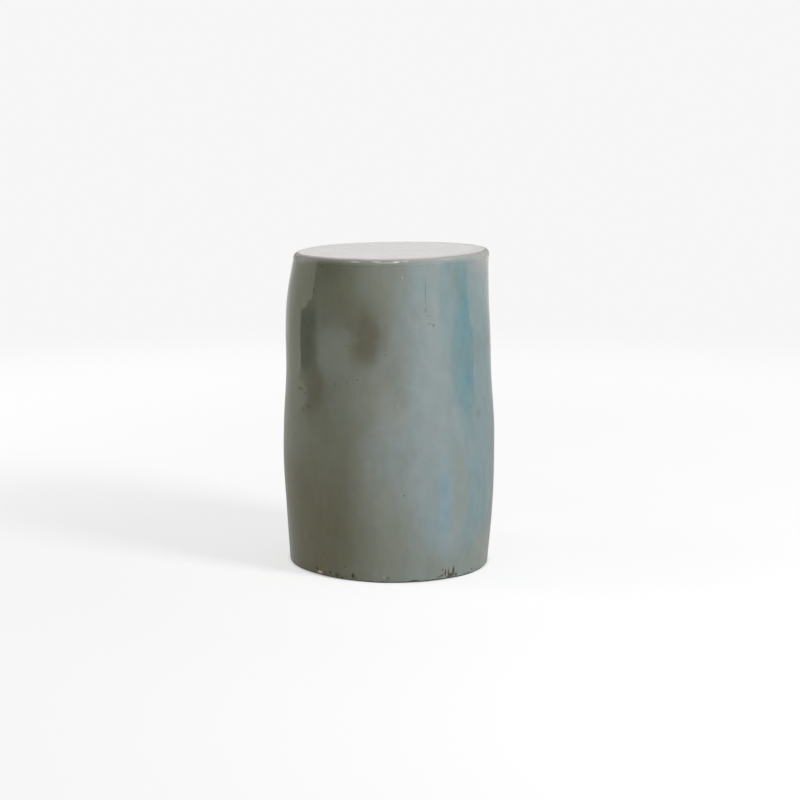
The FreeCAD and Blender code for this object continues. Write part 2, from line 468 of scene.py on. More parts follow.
# The glazes in the maker's buckets, and a white for painted highlights.
SHADOW_OLIVE = colour(80, 86, 71)
DARK_OLIVE = colour(94, 96, 78)
BROWN_OLIVE = colour(98, 97, 80)
LOW_OLIVE = colour(97, 94, 72)
OLIVE = colour(110, 112, 96)
PALE_OLIVE = colour(120, 122, 106)
GREY_GREEN = colour(125, 130, 119)
STONE_GREY = colour(126, 131, 124)
BEIGE = colour(141, 141, 132)
CELADON = colour(132, 143, 143)
PALE_CELADON = colour(137, 148, 148)
TEAL = colour(110, 134, 138)
DEEP_TEAL = colour(98, 128, 133)
SEA_GREY = colour(119, 135, 137)
BLUE = colour(121, 143, 152)
IRON = colour(62, 60, 44)
TOASTED = colour(98, 88, 70)
CHIPPED = colour(196, 160, 148)
CRACK = colour(102, 118, 114)
SEAT_GREY = colour(180, 175, 170)
SEAT_ROSE = colour(190, 182, 182)
SEAT_RIM = colour(150, 150, 145)
# White of the streaks painted as highlights along the rim.
PAINTED_HIGHLIGHT_WHITE = colour(232, 228, 226)

# What the dipping left all round, by angle.
DIP = (
    (-180, STONE_GREY),
    (-140, CELADON),
    (-112, GREY_GREEN),
    (-80, PALE_OLIVE),
    (-45, OLIVE),
    (-25, OLIVE),
    (-12, GREY_GREEN),
    (2, STONE_GREY),
    (14, CELADON),
    (30, CELADON),
    (46, SEA_GREY),
    (75, SEA_GREY),
    (105, CELADON),
    (145, GREY_GREEN),
    (180, STONE_GREY),
)

# Soft patches poured over it, in order: glaze, angle, height, half angle, half height, softness
# of the edge, fray, squareness, strength.
SOFT_POURS = (
    # Low on the left, and the thin glaze over the foot.
    (LOW_OLIVE, -62, 60, 46, 105, 0.55, 0.8, 2.0, 0.85),
    (TOASTED, -42, 30, 13, 22, 0.80, 0.6, 2.0, 0.40),
    (OLIVE, 0, 18, 34, 34, 0.70, 0.6, 2.5, 0.35),
    (GREY_GREEN, 50, 14, 26, 26, 0.60, 0.5, 2.5, 0.50),
    (BEIGE, 70, 38, 13, 34, 0.70, 0.5, 2.0, 0.60),
    # Back and flanks.
    (TEAL, 160, 330, 22, 130, 0.30, 0.9, 3.0, 0.75),
    (DEEP_TEAL, 150, 345, 8, 95, 0.55, 0.7, 2.0, 0.60),
    (BROWN_OLIVE, -150, 300, 16, 60, 0.60, 0.8, 2.0, 0.80),
    (LOW_OLIVE, -165, 60, 40, 85, 0.55, 0.8, 2.0, 0.75),
    (BLUE, 112, 130, 8, 80, 0.60, 0.7, 2.0, 0.60),
    (PALE_CELADON, -105, 290, 12, 110, 0.45, 0.9, 2.5, 0.60),
    # The light patch and the brown cloud on the left of the front.
    (DARK_OLIVE, -38, 436, 11, 30, 0.80, 0.5, 2.0, 0.85),
    (DARK_OLIVE, -42, 385, 9, 40, 0.80, 0.5, 2.0, 0.45),
    (GREY_GREEN, -31, 326, 11, 40, 0.55, 0.5, 2.4, 0.75),
    (GREY_GREEN, -19, 262, 10, 50, 0.75, 0.6, 2.0, 0.70),
    (OLIVE, -34, 392, 12, 26, 0.80, 0.6, 2.0, 0.60),
    (BROWN_OLIVE, -19, 388, 15, 24, 0.80, 0.6, 2.0, 0.40),
    (BROWN_OLIVE, -12.6, 346, 8.3, 40, 0.55, 0.4, 2.2, 0.95),
    (BEIGE, 1, 238, 8, 34, 0.75, 0.6, 2.0, 0.60),
    # Celadon down the middle.
    (PALE_CELADON, 20, 330, 9, 95, 0.60, 0.6, 2.5, 0.55),
    (CELADON, 6, 190, 13, 60, 0.75, 0.7, 2.0, 0.75),
    (GREY_GREEN, -2, 70, 7, 60, 0.70, 0.7, 2.0, 0.60),
    (OLIVE, -13, 52, 6, 40, 0.70, 0.5, 2.0, 0.60),
    # Blue runs low on the right.
    (TEAL, 27, 110, 8, 52, 0.80, 0.7, 2.0, 0.30),
    (BLUE, 30.5, 112, 3.2, 54, 0.70, 0.30, 2.2, 0.90),
    (TEAL, 52, 110, 9, 62, 0.60, 0.6, 2.2, 0.45),
    (GREY_GREEN, 39, 130, 5, 55, 0.60, 0.5, 2.0, 0.40),
)

# Curtains with an edge that is seen, poured last: the same columns.
CURTAINS = (
    # The teal curtain at the right of the front, with its sharp outer edge.
    (TEAL, 39.5, 398, 10.5, 58, 0.22, 0.25, 4.0, 0.50),
    (TEAL, 45.0, 318, 9.5, 66, 0.18, 0.30, 3.5, 0.55),
    (DEEP_TEAL, 47.0, 345, 7.5, 94, 0.60, 0.20, 2.5, 0.85),
    (SEA_GREY, 63.5, 405, 15.5, 52, 0.045, 0.16, 6.0, 0.95),
    (SEA_GREY, 66.5, 310, 15.2, 60, 0.045, 0.20, 6.0, 0.95),
    # These paler curtains at the right edge under the rim are partly glaze and partly a painted
    # reflection: the soft strip of light along that edge.
    (PALE_CELADON, 72, 420, 14, 40, 0.60, 0.40, 2.0, 0.60),
    (SEAT_RIM, 78, 446, 24, 14, 0.60, 0.40, 2.0, 0.75),
    (SEAT_RIM, 88, 400, 9, 70, 0.60, 0.30, 2.0, 0.60),
    # The dark edge and the pale curtain at the left of the front.
    (SHADOW_OLIVE, -54.8, 338, 9.6, 50, 0.40, 0.20, 3.5, 1.00),
    (BROWN_OLIVE, -47.0, 268, 6.5, 34, 0.60, 0.50, 2.0, 0.90),
    (PALE_OLIVE, -73.0, 338, 14.0, 60, 0.030, 0.16, 7.0, 1.00),
    (PALE_OLIVE, -63.6, 424, 14.6, 29, 0.028, 0.14, 8.0, 0.95),
    (PALE_OLIVE, -66.0, 396, 13.0, 16, 0.040, 0.20, 2.4, 0.95),
    (PALE_OLIVE, -66.5, 258, 14.0, 22, 0.070, 0.30, 3.0, 0.80),
)

# Small marks of the firing, and short painted highlights on the rim: the same columns as the
# pours.
MARKS_AND_HIGHLIGHTS = (
    (BLUE, 18.0, 412, 2.2, 18, 0.80, 0.10, 2.0, 0.25),
    (CRACK, 20.2, 411, 0.26, 19, 0.60, 0.04, 2.0, 0.75),
    (CRACK, 20.0, 386, 0.55, 2.2, 0.80, 0.03, 2.0, 0.70),
    (CRACK, 24.4, 365, 0.60, 2.2, 0.80, 0.03, 2.0, 0.90),
    (CRACK, 22.1, 367, 0.90, 1.6, 0.80, 0.03, 2.0, 0.55),
    (CRACK, 21.6, 378, 1.40, 0.8, 0.80, 0.03, 2.0, 0.45),
    (SEAT_ROSE, 7.4, 431, 0.28, 0.9, 0.60, 0.00, 2.0, 0.85),
    (IRON, 6.6, 430, 0.30, 0.8, 0.80, 0.00, 2.0, 0.40),
    (IRON, -17.3, 289, 0.45, 1.4, 0.80, 0.02, 2.0, 0.50),
    (IRON, -26.5, 292, 0.35, 2.8, 0.80, 0.02, 2.0, 0.35),
    (IRON, -31.4, 280, 0.45, 2.0, 0.80, 0.02, 2.0, 0.45),
    (IRON, -23.6, 285, 0.60, 1.2, 0.80, 0.02, 2.0, 0.35),
    (BROWN_OLIVE, -22.8, 336, 2.20, 0.8, 0.80, 0.03, 2.0, 0.60),
    (BROWN_OLIVE, -1.6, 325, 0.50, 1.4, 0.80, 0.02, 2.0, 0.60),
    (PALE_OLIVE, -25.0, 352, 3.20, 5.0, 0.50, 0.06, 4.0, 0.60),
    # Where the glaze broke pale along the rim, and short white streaks on its front that are
    # painted highlights, glints of the studio light.
    (SEAT_GREY, -84, 452, 28, 8, 0.70, 0.20, 2.0, 0.65),
    (SEAT_GREY, 86, 452, 24, 7, 0.70, 0.20, 2.0, 0.40),
    (PAINTED_HIGHLIGHT_WHITE, -19.8, 452, 2.7, 0.8, 0.60, 0.02, 2.0, 0.70),
    (PAINTED_HIGHLIGHT_WHITE, -7.2, 453, 2.3, 0.8, 0.60, 0.02, 2.0, 0.80),
    (PAINTED_HIGHLIGHT_WHITE, 4.4, 453, 1.6, 1.0, 0.60, 0.02, 2.0, 1.00),
    (PAINTED_HIGHLIGHT_WHITE, 9.6, 454, 1.8, 0.8, 0.60, 0.02, 2.0, 0.80),
    (PAINTED_HIGHLIGHT_WHITE, 34.1, 455, 4.2, 0.8, 0.60, 0.02, 2.0, 0.50),
    # A square nick under the rim, and the ragged foot of the pale curtain.
    (IRON, -46.6, 447, 0.55, 5.0, 0.60, 0.04, 4.0, 0.45),
    (IRON, -43.3, 446, 0.50, 4.2, 0.60, 0.04, 4.0, 0.40),
    (IRON, -45.0, 442, 2.20, 0.9, 0.60, 0.04, 4.0, 0.35),
    (IRON, -52.0, 424, 0.70, 1.0, 0.80, 0.02, 2.0, 0.35),
    (IRON, -48.6, 409, 0.60, 4.5, 0.70, 0.03, 2.0, 0.55),
    (IRON, -58.5, 267, 2.60, 1.6, 0.80, 0.10, 2.0, 0.50),
    (IRON, -54.0, 262, 1.40, 2.2, 0.80, 0.10, 2.0, 0.35),
    (IRON, -50.5, 244, 2.40, 2.6, 0.80, 0.12, 2.0, 0.40),
    (IRON, -55.0, 238, 1.20, 3.0, 0.80, 0.10, 2.0, 0.35),
    (CRACK, 54.0, 232, 2.5, 6, 0.90, 0.30, 2.0, 0.60),
    (IRON, 8.0, 128, 0.45, 1.2, 0.60, 0.00, 2.0, 0.60),
    # Drips of bare iron over the foot.
    (BEIGE, 34.5, 9, 3.6, 6, 0.70, 0.05, 2.0, 0.45),
    (IRON, 32.4, 10, 0.55, 5.0, 0.50, 0.05, 2.0, 0.80),
    (IRON, 34.4, 10, 0.50, 6.0, 0.50, 0.05, 2.0, 0.75),
    (IRON, 37.8, 11, 0.80, 6.5, 0.50, 0.05, 2.0, 0.90),
    (IRON, 36.4, 5, 1.50, 2.0, 0.60, 0.05, 2.0, 0.70),
    (IRON, 30.6, 15, 0.45, 1.6, 0.60, 0.05, 2.0, 0.70),
    (IRON, 39.9, 5, 0.80, 2.5, 0.60, 0.05, 2.0, 0.80),
    (IRON, 53.0, 7, 0.60, 1.6, 0.60, 0.05, 2.0, 0.80),
    (IRON, 14.0, 3, 2.50, 1.5, 0.60, 0.05, 2.0, 0.70),
    (IRON, -46.0, 10, 0.90, 2.4, 0.60, 0.05, 2.0, 0.90),
    (CHIPPED, -43.6, 5.5, 1.9, 1.9, 0.35, 0.03, 2.0, 1.00),
    (IRON, -36.0, 8, 0.80, 2.0, 0.60, 0.05, 2.0, 0.90),
    (IRON, -31.0, 6.5, 1.70, 3.0, 0.60, 0.05, 2.0, 0.80),
    (IRON, -20.7, 7.5, 1.00, 3.8, 0.50, 0.05, 2.0, 1.00),
    (IRON, -25.5, 20, 0.50, 2.0, 0.60, 0.05, 2.0, 0.50),
    (SEAT_RIM, -2.8, 8.5, 0.60, 1.6, 0.50, 0.02, 2.0, 0.80),
    (IRON, -0.4, 7, 0.60, 1.6, 0.60, 0.02, 2.0, 0.60),
)

# Where the foot is pitted, and how deep into the height: angle, half angle, height.
PITTED = (
    (-40, 10, 9),
    (-24, 8, 10),
    (0, 8, 8),
    (34, 8, 16),
    (52, 8, 8),
    (140, 30, 12),
    (-120, 20, 10),
)


WAVES, WAVE_HEIGHT = 16, 0.05


def uneven(points, pace, seed):
    """Smooth swing over points, mostly between -0.3 and 0.3: pace is how fast it turns."""
    chance = np.random.default_rng(seed)
    swing = np.zeros(len(points))
    for _ in range(WAVES):
        swing += np.sin(points @ (chance.normal(size=3) * pace) + chance.uniform(0, 2 * math.pi))
    return swing * WAVE_HEIGHT


def laid_glaze(points):
    """Colour of the dips and the soft pours at points on the drum."""
    angle = np.degrees(np.arctan2(points[:, 0], -points[:, 1]))
    rise = points[:, 2] / MM
    drawn = points * np.array([1.0, 1.0, 0.7])
    swings = [uneven(drawn, 50, seed) + 0.4 * uneven(drawn, 260, seed + 1) for seed in (3, 5)]
    dipped = angle + 20 * uneven(points * np.array([1.0, 1.0, 0.5]), 22, 7)
    stops = [stop[0] for stop in DIP]
    bands = [np.interp(dipped, stops, [stop[1][i] for stop in DIP]) for i in range(4)]
    shade = np.stack(bands, axis=1)
    for glaze, middle, height, half_angle, half_height, edge, fray, square, strength in SOFT_POURS:
        across = (angle - middle + 180) % 360 - 180 + swings[0] * fray * ANGLE_FRAY
        upright = rise - height + swings[1] * fray * HEIGHT_FRAY
        total = np.abs(across / half_angle) ** square + np.abs(upright / half_height) ** square
        amount = 1 - smooth_step(1 - edge, 1 + edge, total ** (1 / square))
        shade += (np.array(glaze) - shade) * (amount * strength)[:, None]
    return shade


def drum_places(nodes, place, parts):
    """What a pour needs of a place: angle, height, and the swing of its edges across and up."""
    swings = []
    for start in ((0.0, 0.0, 0.0), (3.7, 1.9, 5.3)):
        moved = nodes.vector("ADD", place, start)
        slow = nodes.noise(stretched(nodes, moved, 1.0, 0.7), 22.0, detail=2.0)
        quick = nodes.noise(stretched(nodes, moved, 1.0, 0.6), 110.0, detail=3.0)
        quick = nodes.math("MULTIPLY_ADD", quick, 0.4, -0.7)
        swings.append(nodes.math("ADD", slow, quick))
    back = nodes.math("MULTIPLY", parts[1], -1.0)
    around = nodes.math("MULTIPLY", nodes.math("ARCTAN2", parts[0], back), 180 / math.pi)
    up = nodes.math("MULTIPLY", parts[2], 1 / MM)
    return around, up, swings[0], swings[1]


def pour_at(nodes, group, places, values):
    """One pour's node, with its own values: how much of it lies at a place."""
    pour = nodes.add("ShaderNodeGroup", node_tree=group)
    for label, place in zip(("Around", "Up", "Swing across", "Swing up"), places):
        nodes.put(pour.inputs[label], place)
    labels = ("Angle", "Height", "Half angle", "Half height", "Edge", "Fray", "Squareness")
    for label, value in zip(labels, values):
        pour.inputs[label].default_value = value
    return pour.outputs[0]


def poured(nodes, group, places, shade, pours):
    """Lays pours over a colour."""
    for glaze, *values, strength in pours:
        amount = pour_at(nodes, group, places, values)
        shade = nodes.mix(nodes.math("MULTIPLY", amount, strength), shade, glaze)
    return shade


def foot_pits(nodes, group, place, places):
    """How much bare, pitted clay shows along the foot."""
    total = 0.0
    for angle, half, height in PITTED:
        mask = pour_at(nodes, group, places, (angle, 0.0, half, height, 0.5, 0.1, 2.5))
        total = nodes.math("MAXIMUM", total, mask)
    grain = nodes.noise(place, 210.0, detail=3.0, roughness=0.6)
    level = nodes.ramp(total, 0.0, 1.0, 0.80, 0.54, smooth=False)
    over = nodes.math("SUBTRACT", grain, level)
    return nodes.ramp(over, 0.0, 0.06)


def clouded(nodes, place, shade):
    """Clouds and streaks where the glaze moved, with the clouds' own noise for the skin."""
    drift = nodes.noise(stretched(nodes, place, 1.0, 0.5), 20.0, detail=4.0, roughness=0.55)
    shade = nodes.mix(nodes.ramp(drift, 0.48, 0.80, 0.0, 0.40), shade, OLIVE)
    streaks = nodes.noise(stretched(nodes, place, 1.0, 0.15), 160.0, detail=3.0, roughness=0.6)
    clouds = nodes.noise(stretched(nodes, place, 1.0, 0.7), 60.0, detail=6.0, roughness=0.68)
    tone = nodes.math(
        "ADD",
        nodes.math("MULTIPLY", nodes.math("SUBTRACT", streaks, 0.5), 0.06),
        nodes.math("MULTIPLY", nodes.math("SUBTRACT", clouds, 0.5), 0.24),
    )
    hair = nodes.noise(stretched(nodes, place, 1.0, 0.06), 420.0, detail=1.0)
    where = nodes.noise(place, 34.0, detail=2.0)
    dark = nodes.ramp(where, 0.54, 0.66, 0.0, -0.10)
    hair = nodes.math("MULTIPLY", nodes.ramp(hair, 0.66, 0.74), dark)
    tone = nodes.math("ADD", nodes.math("ADD", tone, hair), 1.0)
    tint = nodes.noise(stretched(nodes, place, 1.0, 0.6), 75.0, detail=3.0)
    bloom = nodes.noise(stretched(nodes, place, 1.0, 0.8), 52.0, detail=3.0)
    values = {
        "Hue": nodes.math("MULTIPLY_ADD", tint, 0.10, 0.45),
        "Saturation": nodes.math("MULTIPLY_ADD", bloom, 0.9, 0.55),
        "Value": tone,
        "Color": shade,
    }
    return nodes.add("ShaderNodeHueSaturation", values).outputs[0], clouds


def seat_washed(nodes, place, parts, up, shade):
    """The paler seat, thin over the rim and scratched on the flat: up is metres above the neck."""
    scuffs = nodes.noise(stretched(nodes, place, 0.5, 1.0), 60.0, detail=5.0, roughness=0.65)
    seat = nodes.mix(nodes.ramp(scuffs, 0.35, 0.65), SEAT_GREY, SEAT_ROSE)
    shade = nodes.mix(nodes.ramp(up, 0.0075, 0.0135, 0.0, 0.62), shade, SEAT_RIM)
    shade = nodes.mix(nodes.ramp(up, 0.0132, 0.0158), shade, seat)
    reach = nodes.vector("LENGTH", nodes.vector("MULTIPLY", place, (1.0, 1.0, 0.0)))
    outer = nodes.ramp(reach, 0.112, 0.136)
    thin = nodes.math("MULTIPLY", outer, nodes.ramp(parts[0], 0.02, 0.10, 0.0, 0.8))
    thin = nodes.math("MULTIPLY", thin, nodes.ramp(up, 0.010, 0.015))
    shade = nodes.mix(thin, shade, SEAT_RIM)
    scratch = nodes.noise(stretched(nodes, place, 0.35, 1.0), 420.0, detail=2.0)
    used = nodes.noise(place, 22.0, detail=2.0)
    scratch = nodes.ramp(scratch, 0.62, 0.72)
    scratch = nodes.math("MULTIPLY", scratch, nodes.ramp(used, 0.50, 0.62, 0.0, 0.35))
    scratch = nodes.math("MULTIPLY", scratch, nodes.ramp(up, 0.0156, 0.0159))
    return nodes.mix(scratch, shade, BEIGE)


def pinholes(nodes, place, up):
    """Where gas broke through the glaze of the wall."""
    cells = nodes.add("ShaderNodeTexVoronoi", {"Vector": place, "Scale": 95.0}).outputs
    chance = nodes.add("ShaderNodeSeparateXYZ", {"Vector": cells["Color"]}).outputs[0]
    rare = nodes.math("GREATER_THAN", chance, 0.6)
    pinhole = nodes.math("MULTIPLY", nodes.ramp(cells["Distance"], 0.04, 0.10, 1.0, 0.0), rare)
    return nodes.math("MULTIPLY", pinhole, nodes.ramp(up, 0.010, 0.015, 1.0, 0.0))


def rim_wear(nodes, place, up):
    """How much rougher the rim is where hands and use took the shine off."""
    edge = nodes.ramp(up, 0.0070, 0.0090)
    edge = nodes.math("MULTIPLY", edge, nodes.ramp(up, 0.0157, 0.0160, 1.0, 0.0))
    worn = nodes.noise(stretched(nodes, place, 1.0, 3.0), 62.0, detail=3.0, roughness=0.7)
    return nodes.math("MULTIPLY", edge, nodes.ramp(worn, 0.54, 0.62, 0.75, 0.0))


def glaze_material():
    """Running glaze: dips, pours, flow streaks, pinholes and a glassy skin."""
    material, nodes = new_material("running_glaze")
    place = nodes.add("ShaderNodeTexCoord").outputs["Object"]
    parts = nodes.add("ShaderNodeSeparateXYZ", {"Vector": place}).outputs
    group = pour_group()
    places = drum_places(nodes, place, parts)
    laid = nodes.add("ShaderNodeAttribute", attribute_name="laid_glaze").outputs["Color"]
    shade = poured(nodes, group, places, laid, CURTAINS)
    shade, clouds = clouded(nodes, place, shade)
    # Small marks, with the white rim streaks that are painted highlights.
    shade = poured(nodes, group, places, shade, MARKS_AND_HIGHLIGHTS)
    up = nodes.add("ShaderNodeAttribute", attribute_name="rim_rise").outputs["Fac"]
    shade = seat_washed(nodes, place, parts, up, shade)
    peel = nodes.noise(place, 220.0, detail=2.0)
    pinhole = pinholes(nodes, place, up)
    shade = nodes.mix(nodes.math("MULTIPLY", pinhole, 0.45), shade, BROWN_OLIVE)
    pits = foot_pits(nodes, group, place, places)
    shade = nodes.mix(nodes.math("MULTIPLY", pits, 0.9), shade, IRON)
    holes = nodes.math("ADD", pinhole, nodes.math("MULTIPLY", pits, 2.0))
    flat = nodes.ramp(up, 0.011, 0.0158, 0.5, 0.05)
    height = nodes.math("SUBTRACT", nodes.math("MULTIPLY", peel, flat), holes)
    bump = nodes.add("ShaderNodeBump", {"Height": height, "Strength": 0.30, "Distance": 0.0006})
    roughness = nodes.ramp(clouds, 0.3, 0.7, 0.12, 0.22, smooth=False)
    roughness = nodes.math("ADD", roughness, nodes.math("MULTIPLY", pits, 0.5))
    roughness = nodes.math("ADD", roughness, rim_wear(nodes, place, up))
    finish_material(nodes, shade, roughness, bump.outputs[0], IOR=1.5)
    return material


def clay_material():
    """Bare fired stoneware: sandy body, iron specks, dark at the foot edge: toasted clay and
    painted contact shade.
    """
    material, nodes = new_material("bare_stoneware")
    place = nodes.add("ShaderNodeTexCoord").outputs["Object"]
    parts = nodes.add("ShaderNodeSeparateXYZ", {"Vector": place}).outputs
    body = nodes.noise(place, 60.0, detail=5.0, roughness=0.7)
    shade = nodes.mix(nodes.ramp(body, 0.3, 0.7), colour(150, 122, 98), colour(178, 154, 128))
    grog = nodes.add("ShaderNodeTexVoronoi", {"Vector": place, "Scale": 420.0}).outputs
    dark = nodes.ramp(grog["Distance"], 0.12, 0.22, 1.0, 0.0)
    shade = nodes.mix(nodes.math("MULTIPLY", dark, 0.6), shade, colour(84, 62, 48))
    # Darker towards the bottom edge: part toasted clay, part a painted contact shade where the
    # foot meets the floor.
    toast_and_shade = nodes.ramp(parts[2], 0.004, 0.012, 0.9, 0.0)
    shade = nodes.mix(toast_and_shade, shade, colour(50, 48, 40))
    grit = nodes.noise(place, 900.0, detail=3.0)
    height = nodes.math("ADD", grit, nodes.math("MULTIPLY", body, 1.5))
    bump = nodes.add("ShaderNodeBump", {"Height": height, "Strength": 0.5, "Distance": 0.0005})
    roughness = nodes.ramp(body, 0.3, 0.7, 0.78, 0.92, smooth=False)
    finish_material(nodes, shade, roughness, bump.outputs[0])
    return material


def felt_material():
    """Dense pressed felt."""
    material, nodes = new_material("pressed_felt")
    place = nodes.add("ShaderNodeTexCoord").outputs["Object"]
    fibres = nodes.noise(place, 1800.0, detail=4.0, roughness=0.7, distortion=1.5)
    shade = nodes.mix(nodes.ramp(fibres, 0.35, 0.65), colour(46, 43, 40), colour(84, 80, 74))
    bump = nodes.add("ShaderNodeBump", {"Height": fibres, "Strength": 0.8, "Distance": 0.0003})
    roughness = nodes.ramp(fibres, 0.3, 0.7, 0.88, 0.98, smooth=False)
    finish_material(nodes, shade, roughness, bump.outputs[0], Sheen_Weight=0.4)
    return material


# Pieces

COLUMNS = 360
CLAY_COLUMNS = 240
PAD_COLUMNS = 72

# Edge of the glaze's flat back under the seat, outward from the neck, and the rise that marks
# the wall below the rim.
BACK_REACH = -5.7
BELOW_RIM = -1.0


def glaze_coat():
    """The whole glaze: up the wall, round the rim and over the seat, closed on its back."""
    under = SEAT_THICKNESS - GLAZE
    rings, skin, rise = [seat_point(under)], [0.0], [SEAT_THICKNESS * MM]

    def lay(ring, mark, up):
        rings.append(ring)
        skin.append(mark)
        rise.append(up * MM)

    for share in (0.25, 0.6, 0.9):
        lay(shrunk_seat_ring(BACK_REACH, under, share, COLUMNS), 0.0, SEAT_THICKNESS)
    for outward, up in reversed(RIM_SECTION):
        shift = SEAT_SHIFT * smooth_step(0.0, 4.0, up)
        lay(seat_ring(outward - GLAZE, min(up, under), COLUMNS, shift), 0.0, up)
    for height in np.linspace(NECK_HEIGHT - 1.0, GLAZE_LINE + 1.0, 24):
        lay(drum_ring(height, GLAZE, COLUMNS), 0.0, BELOW_RIM)
    lay(drum_ring(GLAZE_LINE, GLAZE * 0.5, COLUMNS), 0.2, BELOW_RIM)
    for rounding in (0.35, 1.2, 2.4):
        lay(drum_ring(GLAZE_LINE + rounding, 0.0, COLUMNS), 0.5, BELOW_RIM)
    low = np.linspace(GLAZE_LINE + 4.0, 30.0, 14)
    for height in np.concatenate([low, np.linspace(33.0, NECK_HEIGHT - 1.5, 130)]):
        lay(drum_ring(height, 0.0, COLUMNS), 1.0, BELOW_RIM)
    for outward, up in RIM_SECTION:
        shift = SEAT_SHIFT * smooth_step(0.0, 4.0, up)
        lay(seat_ring(outward, up, COLUMNS, shift), 1.0, up)
    last_outward, last_up = RIM_SECTION[-1]
    for share in np.linspace(0.985, 0.06, 30):
        lay(shrunk_seat_ring(last_outward, last_up, share, COLUMNS), 1.0, last_up)
    lay(seat_point(SEAT_THICKNESS), 1.0, last_up)
    coat = turned_mesh("glaze_coat", rings, False, {"skin": skin, "rim_rise": rise})
    layer = coat.data.attributes.new("laid_glaze", "FLOAT_COLOR", "POINT")
    shades = laid_glaze(np.concatenate(rings) * MM)
    layer.data.foreach_set("color", shades.ravel().astype(np.float32))
    return coat


def clay_course(name, low, high):
    """One course of the clay wall."""
    heights = np.linspace(low, high, max(2, int((high - low) / 5)))
    outside = [drum_ring(height, GLAZE, CLAY_COLUMNS) for height in heights]
    inside = [drum_ring(height, GLAZE + WALL, CLAY_COLUMNS) for height in heights[::-1]]
    skin = [0.0] * len(outside) + [1.0] * len(inside)
    return turned_mesh(name, outside + inside, True, {"skin": skin})


def seat_board():
    """Clay slab under the seat's glaze."""
    top, bottom = SEAT_THICKNESS - GLAZE, GLAZE
    rings = [seat_point(bottom)]
    for share in np.linspace(0.08, 0.96, 22):
        rings.append(shrunk_seat_ring(-GLAZE, bottom, share, CLAY_COLUMNS))
    marks = [1.0] * len(rings)
    for outward, up in RIM_SECTION:
        shift = SEAT_SHIFT * smooth_step(0.0, 4.0, up)
        rings.append(seat_ring(outward - GLAZE, min(max(up, bottom), top), CLAY_COLUMNS, shift))
    for share in (0.9, 0.5, 0.1):
        rings.append(shrunk_seat_ring(RIM_SECTION[-1][0] - GLAZE, top, share, CLAY_COLUMNS))
    rings.append(seat_point(top))
    marks += [0.0] * (len(rings) - len(marks))
    return turned_mesh("seat_board", rings, False, {"skin": marks})


def coil(name, section, ring_at):
    """Ring of clay with a closed section, given as insets from the outside with heights."""
    rings = [ring_at(inset, height) for inset, height in section]
    return turned_mesh(name, rings, True, {"skin": [1.0] * len(rings)})


def clay_ring(inset, height):
    """Ring of a coil in the wall."""
    return drum_ring(height, inset, CLAY_COLUMNS)


def under_seat_ring(inset, up):
    """Ring of a coil under the seat."""
    return seat_ring(-inset, up, CLAY_COLUMNS, 0.0)


def belly_coil():
    """Coil pressed over the joint of the two courses."""
    half, edge, deep = 15.0, 4.0, 9.0
    inner = GLAZE + WALL
    section = [(inner - 0.5, BELLY_HEIGHT + rise) for rise in (-half, 0.0, half)]
    for rise in np.linspace(half, -half, 13):
        depth = edge + (deep - edge) * math.cos(rise / half * math.pi / 2) ** 0.8
        section.append((inner + depth * (1.0 if abs(rise) < half else 0.5), BELLY_HEIGHT + rise))
    return coil("belly_coil", section, clay_ring)


def corner_coil():
    """Coil pressed into the corner under the seat."""
    drop, reach, edge = 22.0, 20.0, 4.0
    inner, top = GLAZE + WALL, GLAZE + 0.3
    section = [(inner - 0.5, GLAZE - drop + 1.0), (inner - 0.5, top), (inner + reach, top)]
    for share in np.linspace(0.02, 1.0, 10):
        hollow = 2.2 * math.sin(share * math.pi)
        depth = reach + (edge - reach) * share - hollow
        section.append((inner + depth, GLAZE - drop * share))
    return coil("corner_coil", section, under_seat_ring)


def foot_flange():
    """Flange turned inwards at the foot."""
    reach, bevel, top = 24.0, 8.0, FOOT_HEIGHT + 18.0
    inner = GLAZE + WALL
    section = [(inner - 0.5, FOOT_HEIGHT + 0.1), (inner - 0.5, top)]
    for share in np.linspace(0.15, 1.0, 6):
        section.append((inner + (reach - bevel) * share, top - 0.6 * share**6))
    for share in np.linspace(0.1, 0.95, 6):
        section.append((inner + reach - bevel * (1 - share), top - (top - FOOT_HEIGHT) * share))
    section.append((inner + reach - 0.8, FOOT_HEIGHT))
    for share in (0.75, 0.5, 0.25):
        section.append((inner + reach * share, FOOT_HEIGHT))
    return coil("foot_flange", section, clay_ring)


def felt_pad(node):
    """Felt disc in a pad's place."""
    low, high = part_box(node)
    middle, reach = (low + high) / 2 / MM, (high.x - low.x) / 2 / MM
    top = high.z / MM
    rings = [np.array([[middle.x, middle.y, 0.0]])]
    around = np.arange(PAD_COLUMNS) * (2 * math.pi / PAD_COLUMNS)
    section = [(0.3, 0.0), (0.7, 0.0), (0.97, 0.0), (1.0, 0.35), (1.0, top - 0.3), (0.975, top)]
    for share, height in section + [(0.6, top), (0.25, top)]:
        x = middle.x + reach * share * np.cos(around)
        y = middle.y + reach * share * np.sin(around)
        rings.append(np.stack([x, y, np.full(PAD_COLUMNS, height)], axis=1))
    rings.append(np.array([[middle.x, middle.y, top]]))
    name = node.replace("floor_pad", "felt_pad")
    return turned_mesh(name, rings, False, {"skin": [0.0] * len(rings)})


def place_piece(piece, slot, *nodes):
    """Rides a finished piece on the stool in the place of its solids."""
    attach(piece, "root")
    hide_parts(*nodes)


relief = hand_relief_tree()
glaze, clay, felt = glaze_material(), clay_material(), felt_material()
WALL_WOBBLE = {"Wobble": 0.0022, "Wobble scale": 9.0, "Seed": 4.0}


def shape(piece, ripple, ripple_scale, material):
    """Hand relief for one piece: all share the same wobble."""
    values = {**WALL_WOBBLE, "Ripple": ripple, "Ripple scale": ripple_scale, "Material": material}
    return apply_tree(piece, relief, values)


